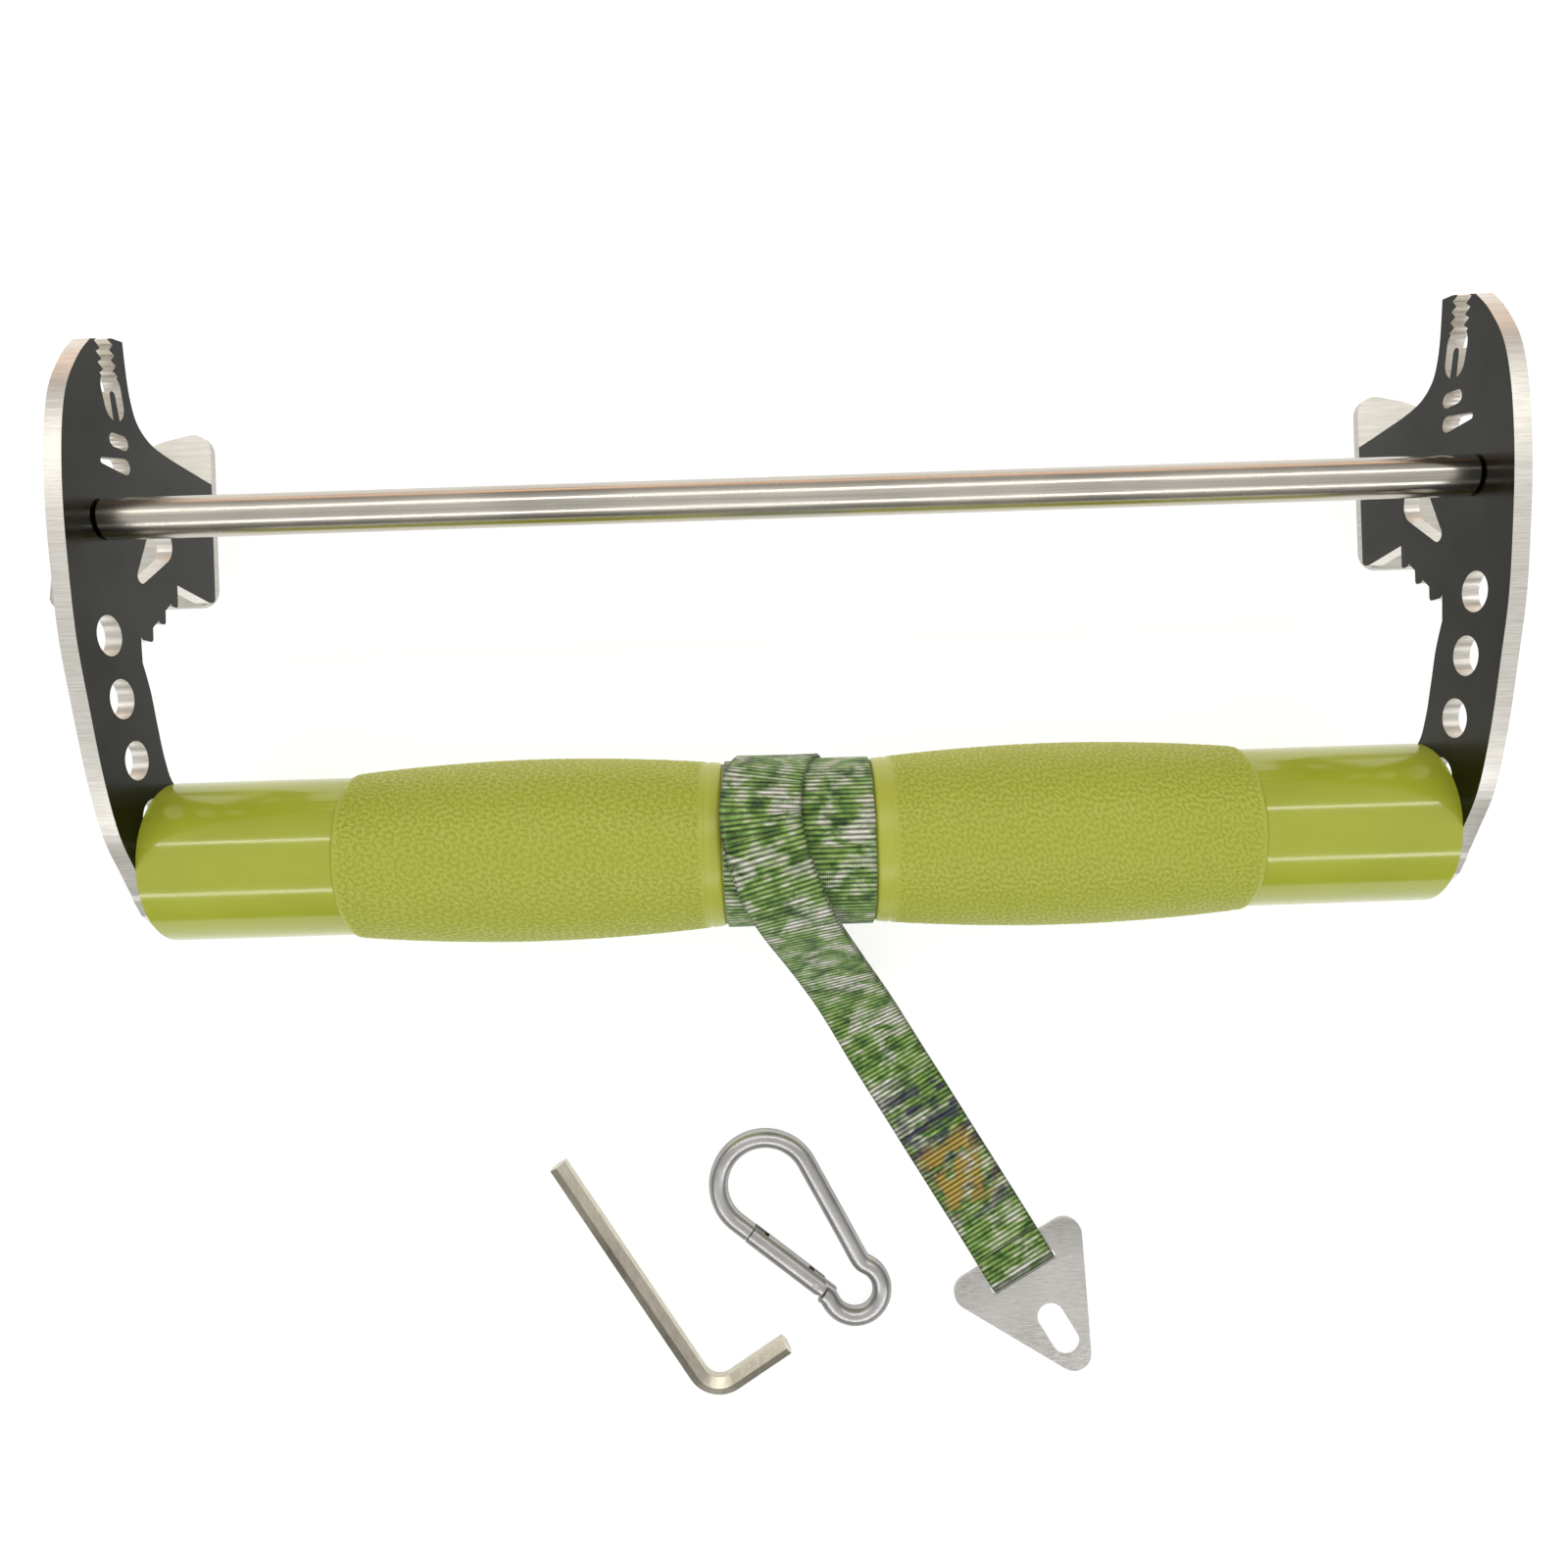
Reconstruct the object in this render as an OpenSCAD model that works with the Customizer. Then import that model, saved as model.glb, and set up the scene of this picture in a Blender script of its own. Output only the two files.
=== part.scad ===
// Portable pull-up bar: two laser-cut side plates, a spreader rod and a gripped cross tube,
// lying on its wall pads and grips, with its strap, snap hook and hex key beside it.
// Millimetres, +Z up. X runs along the bars. The origin is on the surface that everything
// lies on, at the middle of the whole layout.

/* [Frame] */
// Clear distance between the side plates
span = 400; // [340:10:480]
// Thickness of each side plate
plate_t = 5; // [4:0.5:8]
// Outer diameter of the spreader rod
rod_d = 12; // [10:0.5:16]
// Whole layout from the top of the plates to the bend of the hex key
layout_y = 351; // [350:1:420]

/* [Wall pads] */
// Reach of a wall pad beyond the plate's inner face
pad_w = 58; // [48:1:80]
// Length of a wall pad's straight edge along the plate
pad_l = 60; // [54:1:80]
// Thickness of a wall pad
pad_t = 3; // [2:0.5:5]

/* [Cross tube and grips] */
// Outer diameter of the cross tube
tube_d = 50.8; // [45:0.1:54]
// Wall of the cross tube
tube_wall = 2; // [1.5:0.1:4]
// Diameter of a grip at its middle
grip_d = 58.8; // [56:0.2:66]
// Diameter of a grip at its ends
grip_end_d = 53; // [52.5:0.1:55]
// Length of a grip
grip_l = 118; // [90:1:130]
// Width of the bare middle of the tube between the grips
grip_gap = 47; // [46.8:0.2:60]

/* [Fasteners] */
// Thread of the bolts that hold the cross tube
tube_bolt_d = 8; // [6:1:10]
// Thread of the bolts that hold the rod
rod_bolt_d = 6; // [4:0.5:6]
// Thread engagement in the tube's plug and in the rod
bolt_grip = 18; // [12:1:30]
// Length of a tube plug
plug_l = 22; // [16:1:40]
// Thickness of a washer
washer_t = 1.6; // [1:0.1:3]

/* [Holes in the side plates] */
// Diameter of the round holes along the arm
arm_hole_d = 12; // [8:0.5:13]
// Width of the round part of the serrated slot
slot_w = 10; // [7:0.5:10]

/* [Strap] */
// Width of the webbing
web_w = 25; // [20:1:25]
// Thickness of one layer of webbing
web_t = 1.3; // [1:0.1:2]
// Thickness of the triangular end tab
tab_t = 1.8; // [1.2:0.1:3]
// Straight edge of the triangular end tab, before its corners are rounded
tab_side = 58; // [54:1:70]
// Length of the end tab from its straight edge to its tip, before rounding
tab_h = 56; // [50:1:70]

/* [Snap hook] */
// Overall length of the snap hook
hook_l = 80; // [72:1:90]
// Wire diameter of the snap hook
wire_d = 6.6; // [5:0.1:7]

/* [Hex key] */
// Width across the flats of the hex key
key_af = 6; // [4:0.5:8]
// Long arm of the hex key, to the middle of the short arm
key_long = 96; // [80:1:110]
// Short arm of the hex key, to the middle of the long arm
key_short = 31; // [26:1:40]

/* [Hidden] */
$fn = 64;

slip = 0.1;               // radial gap of a sleeve on the tube
thread_gap = 0.05;        // radial gap of a bolt in its thread
hole_gap = 0.25;          // radial gap of a bolt in a plate
seat = 0.3;               // gap between soft pieces and their neighbours
half = span / 2;
plate_h = 159;            // top of a plate above the bar axis
bar_z = grip_d / 2;       // the grips rest on the surface
bar_y = layout_y / 2 - plate_h;
rod_at = [102.6, 34.6];   // rod axis from the bar axis, along Y and Z
tube_r = tube_d / 2;
nose_z = pad_t - bar_z;   // the plate's nose stands on its pad
steel = [0.72, 0.71, 0.68];
lime = [0.60, 0.66, 0.15];

// A smooth curve through points: Catmull-Rom, n steps a stretch.
function curve(p, n = 6) = [
    for (i = [0 : len(p) - 2], k = [0 : n - 1])
        let (a = p[max(i - 1, 0)], b = p[i], c = p[i + 1], d = p[min(i + 2, len(p) - 1)], t = k / n)
        ((2 * b) + (c - a) * t + (2 * a - 5 * b + 4 * c - d) * t * t
            + (3 * b - a - 3 * c + d) * t * t * t) / 2,
    p[len(p) - 1]];

// An arc about a centre, from one angle to another.
function arc(c, r, a0, a1, n = 12) = [
    for (k = [0 : n]) let (a = a0 + (a1 - a0) * k / n) c + r * [cos(a), sin(a)]];

// The outline round two circles: an oval slot, or a drop where the radii differ.
function drop(c1, r1, c2, r2, n = 10) =
    let (v = c2 - c1, a = atan2(v[1], v[0]), s = acos((r1 - r2) / norm(v)))
    concat(arc(c1, r1, a + s, a + 360 - s, 2 * n), arc(c2, r2, a - s, a + s, n));

// ---- side plates, drawn as [along Y, along Z] from the bar axis ----
back_edge = [[129.5, nose_z], [130.2, -10], [131, 3], [132.5, 11], [136, 16.8], [141, 19.8],
             [148, 21.8], [plate_h, 23.5]];
front_edge = [[153.8, 39.2], [147, 44.8], [136, 50.6], [122, 53.2], [104, 53.6], [86, 52.2],
              [66, 49.6], [48, 45.2], [27, 39.4], [10, 32.8], [-2, 24.6], [-9, 19.5]];
arm_back = [[20, -8], [25, 3], [33, 7.8], [44, 11.4], [54, 14.4], [62.5, 18.2]];
end_r = 21.5;             // round end of the arm, hidden by the tube
tooth_n = 3;
tooth_first = [82.5, -2.6];
tooth_step = [-6.5, 7.3];
tooth_w = 4.1;
tooth_h = 4.6;

// The stepped teeth between the arm and the nose, from the arm to the nose.
function teeth() = [
    for (k = [tooth_n - 1 : -1 : 0])
        let (p = tooth_first + k * tooth_step, w = k == tooth_n - 1 ? tooth_w + 2.5 : tooth_w)
        each [p + [0.8, w], p + [0, w - 0.8], p + [0, 0.8], p + [0.8, 0], p + [tooth_h, 0]]];

function plate_outline() = concat(
    curve(back_edge), [[158, 28.8]], curve(front_edge),
    arc([0, 0], end_r, 120, 330), curve(arm_back), teeth(),
    [[90, -2.6], [87.6, nose_z + 4], [88, nose_z + 1.2], [89.2, nose_z]]);

slot_top = [158, 33.6];   // mouth of the serrated slot
slot_bulb = [142.6, 29.9];
slot_end = [138.2, 28.6];
tongue_tip = [140.6, 29.3]; // the tongue that stands up in the round part's lower end
tongue_w = 3.2;
ridge_n = 5;
ridge_in = 2.3;
ridge_out = 4.5;

// The serrated mouth: both sides zigzag from the top of the plate down to the round part.
module serrated_mouth() {
    run = slot_bulb - slot_top;
    length = norm(run);
    pitch = (length - 1) / ridge_n;
    side = [for (k = [0 : ridge_n - 1]) each [[k * pitch, ridge_out], [(k + 0.6) * pitch, ridge_in]]];
    other = [for (k = [len(side) - 1 : -1 : 0]) [side[k][0], -side[k][1]]];
    translate(slot_top) rotate(atan2(run[1], run[0]))
        polygon(concat([[-6, ridge_out + 1]], side, [[length, ridge_in]], [[length, -ridge_in]],
                       other, [[-6, -ridge_out - 1]]));
}

arm_holes = [[68.6, 34.4], [50.4, 29.2], [32.2, 22.8], [14.6, 14.6]];

module plate_shape() {
    difference() {
        polygon(plate_outline());
        serrated_mouth();
        difference() {
            polygon(drop(slot_bulb, slot_w / 2, slot_end, slot_w / 2 - 0.2));
            polygon(drop(slot_end - [4, 0.9], tongue_w / 2, tongue_tip, tongue_w / 2 - 0.2));
        }
        polygon(drop([127.6, 29.4], 2, [128, 24.4], 2.2));
        polygon(drop([121, 24], 2.4, [119.8, 35.2], 0.9));
        polygon(drop([102, 6.4], 6.6, [89.2, 17.2], 2.2));
        for (h = arm_holes) translate(h) circle(d = arm_hole_d);
        circle(r = tube_bolt_d / 2 + hole_gap);
        translate(rod_at) circle(r = rod_bolt_d / 2 + hole_gap);
    }
}

// Places a shape drawn as [Y, Z] from the bar axis at a given X, extruded towards +X.
module upright(x, t) {
    translate([x, bar_y, bar_z]) rotate([90, 0, 90]) linear_extrude(t) children();
}

module side_plate(side) {
    color(steel) upright(side > 0 ? half : -half - plate_t, plate_t) plate_shape();
}

// ---- wall pads: quarter-round plates under the noses ----
pad_y0 = bar_y + 87;      // lower edge of a pad
pad_corner = 6;
module pad_shape() {
    r = pad_corner;
    polygon(concat(
        arc([r, r], r, 180, 270, 6),
        arc([pad_w - r, r], r, 270, 345, 6),
        curve([[pad_w - 1.4, 14], [pad_w - 5, 26], [pad_w - 14, 41], [pad_w - 28, 52], [pad_w - 42, pad_l - 2]]),
        arc([r, pad_l - r], r, 80, 180, 6)));
}

module wall_pad(side) {
    color(steel) mirror([side < 0 ? 1 : 0, 0, 0])
        translate([half, pad_y0, 0]) linear_extrude(pad_t) pad_shape();
}

// ---- rod, tube, plugs ----
// Runs children, drawn along +Z from zero, along X from x on the bar axis or the rod axis.
module along(x, at = [0, 0], flip = false) {
    translate([x, bar_y + at[0], bar_z + at[1]]) rotate([0, flip ? -90 : 90, 0]) children();
}

rod_chamfer = 0.8;
module spreader_rod() {
    r = rod_d / 2;
    color(steel) along(-half, rod_at) difference() {
        rotate_extrude() polygon([[0, 0], [r - rod_chamfer, 0], [r, rod_chamfer],
            [r, span - rod_chamfer], [r - rod_chamfer, span], [0, span]]);
        for (z = [-1, span - bolt_grip - 2]) translate([0, 0, z])
            cylinder(r = rod_bolt_d / 2, h = bolt_grip + 3);
    }
}

module cross_tube() {
    color(lime) along(-half) difference() {
        cylinder(r = tube_r, h = span);
        translate([0, 0, -1]) cylinder(r = tube_r - tube_wall, h = span + 2);
    }
}

module tube_plug(side) {
    color(steel) along(side * half, flip = side > 0) difference() {
        cylinder(r = tube_r - tube_wall, h = plug_l);
        translate([0, 0, -1]) cylinder(r = tube_bolt_d / 2, h = plug_l + 2);
    }
}

// ---- fasteners: one on each side ----
module washers(at, d) {
    for (side = [-1, 1]) along(side * (half + plate_t), at, flip = side < 0) difference() {
        cylinder(r = d, h = washer_t);
        translate([0, 0, -1]) cylinder(r = d / 2 + hole_gap, h = washer_t + 2);
    }
}

// Socket head screw: shank towards the bar, head outside the washer.
module screws(at, d, socket) {
    head_r = 0.8 * d;
    for (side = [-1, 1]) along(side * (half + plate_t + washer_t), at, flip = side < 0) {
        difference() {
            cylinder(r = head_r, h = d);
            translate([0, 0, d / 2]) cylinder(d = socket / cos(30), h = d, $fn = 6);
        }
        translate([0, 0, -plate_t - washer_t - bolt_grip])
            cylinder(r = d / 2 - thread_gap, h = plate_t + washer_t + bolt_grip);
    }
}

// ---- grips: barrel sleeves ----
module grip(side) {
    r0 = tube_r + slip;
    re = grip_end_d / 2;
    rc = grip_d / 2;
    lip = 3;
    color(lime) along(side * grip_gap / 2, flip = side < 0) rotate_extrude()
        polygon(concat([[r0, 0], [r0 + 0.3, 0]],
            curve([[re, lip], [(re + 2 * rc) / 3, grip_l * 0.22], [rc, grip_l * 0.47], [(re + 2 * rc) / 3, grip_l * 0.76],
                   [re, grip_l - 2]], 6),
            [[re - 0.6, grip_l], [r0, grip_l]]));
}

// ---- strap ----
// Turns round the tube: the loop lies flat on the right, and the end crosses over on the left.
wrap_r = tube_r + slip;
wrap_w = 46;
wrap_split = 2;           // where the upper turn meets the lower one
module strap_wrap() {
    color([0.35, 0.5, 0.22]) difference() {
        union() {
            along(wrap_split) cylinder(r = wrap_r + 2 * web_t, h = wrap_w / 2 - wrap_split);
            along(-wrap_w / 2) cylinder(r = wrap_r + 2 * web_t, h = wrap_w / 2 + wrap_split);
        }
        along(-wrap_w) cylinder(r = wrap_r, h = 2 * wrap_w);
    }
}

// Route of the free strap: [x, y from the bar axis, z, slope in degrees].
tail_route = [[-10.9, 4, 59.1, -8], [-8.9, -4, 59.1, 8], [-6.3, -12, 56.9, 24], [-3.4, -19.3, 52.6, 38],
              [-0.4, -25.6, 46.4, 50], [3, -31.6, 38.6, 53], [7, -38.4, 29.4, 52], [11.2, -45.6, 20.6, 48],
              [15.8, -53.4, 12.8, 40], [20.6, -62, 6.8, 27], [25.8, -71.4, 3.4, 12], [31.9, -82, 1.9, 3],
              [39.2, -94.4, 1.7, 0], [47, -107.8, 1.7, 0], [55.1, -121.6, 1.7, 0], [63.2, -135.4, 1.7, 0],
              [68.4, -144.4, 2, -2]];
tail_t = 2 * web_t;

function unit(v) = v / norm(v);
function tail_point(i) = [tail_route[i][0], bar_y + tail_route[i][1], tail_route[i][2]];
tail_n = len(tail_route);
// One ring of the flat strap, eight points, square to the route.
function tail_ring(i) =
    let (p = tail_point(i),
         t = unit(tail_point(min(i + 1, tail_n - 1)) - tail_point(max(i - 1, 0))),
         s = tail_route[i][3], up = [0, -sin(s), cos(s)],
         w = unit(cross(up, t)), n = unit(cross(t, w)),
         a = web_w / 2, b = tail_t / 2, c = 0.5)
    [for (q = [[a, -b + c], [a, b - c], [a - c, b], [c - a, b], [-a, b - c], [-a, c - b], [c - a, -b], [a - c, -b]])
        p + q[0] * w + q[1] * n];

module strap_tail() {
    m = 8;
    pts = [for (i = [0 : tail_n - 1]) each tail_ring(i)];
    sides = [for (i = [0 : tail_n - 2], k = [0 : m - 1])
        each [[i * m + k, i * m + (k + 1) % m, (i + 1) * m + (k + 1) % m],
              [i * m + k, (i + 1) * m + (k + 1) % m, (i + 1) * m + k]]];
    caps = concat([for (k = [1 : m - 2]) [0, k + 1, k]],
                  [for (k = [1 : m - 2]) [(tail_n - 1) * m, (tail_n - 1) * m + k, (tail_n - 1) * m + k + 1]]);
    color([0.4, 0.55, 0.25]) polyhedron(pts, concat(sides, caps));
}

// The end tab and the fold of webbing through its slot, drawn along -Y from the route's end.
tail_end = tail_point(tail_n - 1);
tail_turn = 30;           // the strap's heading on the surface, from -Y towards +X
bar_w = 8;                // the tab's bar inside the fold
tab_edge = 1.5;           // from the strap's end to the tab's straight edge
slot_l = web_w + 0.6;
slot_h = 3;
tab_z = web_t + 0.1;
module at_tab() {
    translate([tail_end[0], tail_end[1], 0]) rotate(tail_turn) children();
}

module strap_tab() {
    r = 6;
    base = atan2(tab_h, tab_side / 2);
    side_x = tab_side / 2 - r / tan(base / 2);
    color(steel) at_tab() translate([0, -tab_edge, tab_z]) linear_extrude(tab_t) difference() {
        polygon(concat(arc([side_x, -r], r, base - 90, 90, 8),
                       arc([-side_x, -r], r, 90, 270 - base, 8),
                       arc([0, r / cos(base) - tab_h], r, 270 - base, 270 + base, 8)));
        translate([-slot_l / 2, -bar_w - slot_h]) square([slot_l, slot_h]);
        polygon(drop([0, 17.8 - tab_h], 4.7, [0, 28.4 - tab_h], 4.7));
    }
}

module strap_fold() {
    inner = tab_t + 0.2;
    outer = inner + 2 * web_t;
    reach = tab_edge + bar_w + 0.3;
    color([0.4, 0.55, 0.25]) at_tab() translate([-web_w / 2, -seat, 0]) rotate([90, 0, 90])
        linear_extrude(web_w) difference() {
            union() {
                translate([-reach, 0]) square([reach, outer]);
                translate([-reach, outer / 2]) circle(r = outer / 2);
            }
            translate([-reach, web_t]) square([reach + 1, inner]);
            translate([-reach, outer / 2]) circle(r = inner / 2);
        }
}

// ---- snap hook: wire hook, sprung gate, pin ----
hook_at = [-15, bar_y - 120.4];   // centre of the large bow
hook_turn = -51;
wire_r = wire_d / 2;
bow_r = 16.3;             // middle of the wire round the large bow
eye_r = 9.4;              // middle of the wire round the small eye
eye_x = hook_l - bow_r - eye_r - wire_d;
pivot = [eye_x - 10.6, 8.9];      // gate pin, from the bow's centre, and mirrored across for the back
tangent = atan2(pivot[1], pivot[0]) + acos(bow_r / norm(pivot));
lean = 90 - tangent;      // slope of the gate and of the straight back
touch = bow_r * [cos(tangent), sin(tangent)];
reach_back = norm(pivot - touch);
tongue_t = 2.6;
tongue_l = 5;
nose_l = 5.6;             // straight wire past the bow, before the gate
gate_gap = 0.35;
fork_l = 5.4;

module at_hook() {
    translate([hook_at[0], hook_at[1], gate_round]) rotate(hook_turn) children();
}

// Places children at the gate's pin, with X running along the gate towards the nose.
module at_pin() {
    translate([pivot[0], -pivot[1], 0]) rotate(180 + lean) children();
}

eye_start = 128;
eye_stop = -112;
wire_n = 12;              // sides of the wire's section
hook_eye = [eye_x, 0];
gate_way = (pivot - touch) / reach_back;
nose_tip = [pivot[0], -pivot[1]] - (reach_back - nose_l) * [gate_way[0], -gate_way[1]];
back_end = touch + (pivot - touch) * 1.04;
wire_path = concat([nose_tip], arc([0, 0], bow_r, 360 - tangent, tangent, 20), [back_end],
                   arc(hook_eye, eye_r, eye_start, eye_stop, 14), [[pivot[0] + 4.6, -pivot[1] - 0.4]]);
wire_last = len(wire_path) - 1;
function wire_ring(i) =
    let (t = unit(wire_path[min(i + 1, wire_last)] - wire_path[max(i - 1, 0)]), p = wire_path[i])
    [for (k = [0 : wire_n - 1]) let (a = 360 * (k + 0.5) / wire_n, u = wire_r * cos(a))
        [p[0] - u * t[1], p[1] + u * t[0], wire_r * sin(a)]];

// The bent wire, one skin from the nose round to the heel.
module bent_wire() {
    m = wire_n;
    faces = concat(
        [for (i = [0 : wire_last - 1], k = [0 : m - 1])
            each [[i * m + k, (i + 1) * m + (k + 1) % m, i * m + (k + 1) % m],
                  [i * m + k, (i + 1) * m + k, (i + 1) * m + (k + 1) % m]]],
        [[for (k = [0 : m - 1]) k], [for (k = [m - 1 : -1 : 0]) wire_last * m + k]]);
    polyhedron([for (i = [0 : wire_last]) each wire_ring(i)], faces);
}

module hook_wire() {
    color(steel) at_hook() {
        bent_wire();
        at_pin() translate([reach_back - nose_l - tongue_l, -2.4, -tongue_t / 2])
            cube([tongue_l + 1, 4.8, tongue_t]);
        difference() {
            at_pin() translate([0, 0, -tongue_t / 2]) {
                cylinder(r = wire_r - 0.4, h = tongue_t, $fn = 32);
                translate([-7, 0.5 - wire_r, 0]) cube([7, wire_d - 1, tongue_t]);
            }
            at_pin() translate([0, 0, -wire_d]) cylinder(r = pin_r + 0.05, h = 2 * wire_d, $fn = 24);
        }
    }
}

pin_r = 1.2;
gate_l = reach_back - nose_l - 0.4;
gate_round = wire_r + 0.2;
module hook_gate() {
    color(steel) at_hook() at_pin() difference() {
        union() {
            rotate([0, 90, 0]) cylinder(r = gate_round, h = gate_l, $fn = 32);
            intersection() {
                rotate([0, 90, 0]) translate([0, 0, -gate_round]) cylinder(r = gate_round, h = 2 * gate_round, $fn = 32);
                cylinder(r = gate_round - 0.1, h = 2 * gate_round, center = true, $fn = 32);
            }
        }
        translate([gate_l - tongue_l - 0.6, -wire_d, -tongue_t / 2 - gate_gap]) cube([tongue_l + 1, 2 * wire_d, tongue_t + 2 * gate_gap]);
        translate([-wire_d, -wire_d, -tongue_t / 2 - gate_gap]) cube([wire_d + fork_l, 2 * wire_d, tongue_t + 2 * gate_gap]);
        translate([0, 0, -wire_d]) cylinder(r = pin_r + 0.05, h = 2 * wire_d, $fn = 24);
        translate([fork_l - 1, 0, 0]) rotate([0, 90, 0]) cylinder(r = spring_r + 0.2, h = spring_l + 1.2, $fn = 32);
    }
}

module hook_gate_pin() {
    color(steel) at_hook() at_pin() cylinder(r = pin_r, h = 2 * gate_round - 0.2, center = true, $fn = 24);
}

// The spring that pushes the gate shut sits in the gate's bore: its outer shape.
spring_r = 1.7;
spring_l = 10;
module hook_gate_spring() {
    color(steel) at_hook() at_pin() translate([fork_l, 0, 0]) rotate([0, 90, 0]) difference() {
        cylinder(r = spring_r, h = spring_l, $fn = 32);
        translate([0, 0, -1]) cylinder(r = spring_r - 0.5, h = spring_l + 2, $fn = 32);
    }
}

// ---- hex key, lying on an edge of its section ----
key_bend = 9;             // middle of the key round its bend
key_turn = 122.2;         // heading of the long arm from its bend
key_r = key_af / 2 / cos(30);
module key_section() {
    rotate(30) circle(r = key_r, $fn = 6);
}

key_at = [-32.8, -layout_y / 2 + key_bend + key_af / 2];   // centre of the bend
module hex_key() {
    color(steel) translate([key_at[0], key_at[1], key_r]) rotate(key_turn + 90) {
        rotate_extrude(angle = 90, $fn = 96) translate([key_bend, 0]) key_section();
        translate([key_bend, 0, 0]) rotate([90, 0, 0]) linear_extrude(key_long - key_bend) key_section();
        translate([0, key_bend, 0]) rotate([90, 0, -90]) linear_extrude(key_short - key_bend) key_section();
    }
}

side_plate(-1);  // side_plate_left
side_plate(1);  // side_plate_right
wall_pad(-1);  // wall_pad_left
wall_pad(1);  // wall_pad_right
spreader_rod();
cross_tube();
tube_plug(-1);  // tube_plug_left
tube_plug(1);  // tube_plug_right
color(steel) washers([0, 0], tube_bolt_d);  // tube_washers
color(steel) screws([0, 0], tube_bolt_d, key_af);  // tube_bolts
color(steel) washers(rod_at, rod_bolt_d);  // rod_washers
color(steel) screws(rod_at, rod_bolt_d, rod_bolt_d - 1);  // rod_bolts
grip(-1);  // grip_left
grip(1);  // grip_right
strap_wrap();
strap_tail();
strap_fold();
strap_tab();
hook_wire();
hook_gate();
hook_gate_pin();
hook_gate_spring();
hex_key();
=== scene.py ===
"""Portable pull-up bar with strap, snap hook and hex key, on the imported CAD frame. Metres."""
import math

import bpy
import numpy as np
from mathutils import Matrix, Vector


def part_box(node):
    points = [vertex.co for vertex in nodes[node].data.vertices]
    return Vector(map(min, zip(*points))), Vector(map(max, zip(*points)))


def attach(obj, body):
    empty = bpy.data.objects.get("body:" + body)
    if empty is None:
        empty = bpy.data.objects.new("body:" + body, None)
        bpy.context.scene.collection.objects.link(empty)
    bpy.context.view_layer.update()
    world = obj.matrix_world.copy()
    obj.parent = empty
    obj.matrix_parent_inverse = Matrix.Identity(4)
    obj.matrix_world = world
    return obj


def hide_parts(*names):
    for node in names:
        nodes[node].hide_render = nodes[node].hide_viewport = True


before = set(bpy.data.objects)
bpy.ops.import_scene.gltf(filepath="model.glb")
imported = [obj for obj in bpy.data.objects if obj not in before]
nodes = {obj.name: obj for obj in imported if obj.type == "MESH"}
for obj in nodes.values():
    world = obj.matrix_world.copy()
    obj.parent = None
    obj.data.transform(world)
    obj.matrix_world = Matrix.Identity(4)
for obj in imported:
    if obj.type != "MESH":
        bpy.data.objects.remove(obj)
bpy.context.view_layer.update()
scene = bpy.context.scene
MM = 0.001

# ---- camera: looks straight down, a little turned, as the photograph does ----
CAMERA_HEIGHT = 0.384
CAMERA_X = -0.004
CAMERA_Y = 0.0353
CAMERA_TURN = -1.85
cam_data = bpy.data.cameras.new("camera")
cam_data.sensor_width = 36
cam_data.lens = 25.1
cam_data.clip_start = 0.01
cam = bpy.data.objects.new("camera", cam_data)
cam.location = (CAMERA_X, CAMERA_Y, CAMERA_HEIGHT)
cam.rotation_euler = (0, 0, math.radians(CAMERA_TURN))
scene.collection.objects.link(cam)
scene.camera = cam

# ---- measures from the CAD boxes ----
tube_lo, tube_hi = (Vector(c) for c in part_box("cross_tube"))
BAR_Y = (tube_lo.y + tube_hi.y) / 2 / MM
BAR_Z = (tube_lo.z + tube_hi.z) / 2 / MM
TUBE_R = (tube_hi.z - tube_lo.z) / 2 / MM


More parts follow.
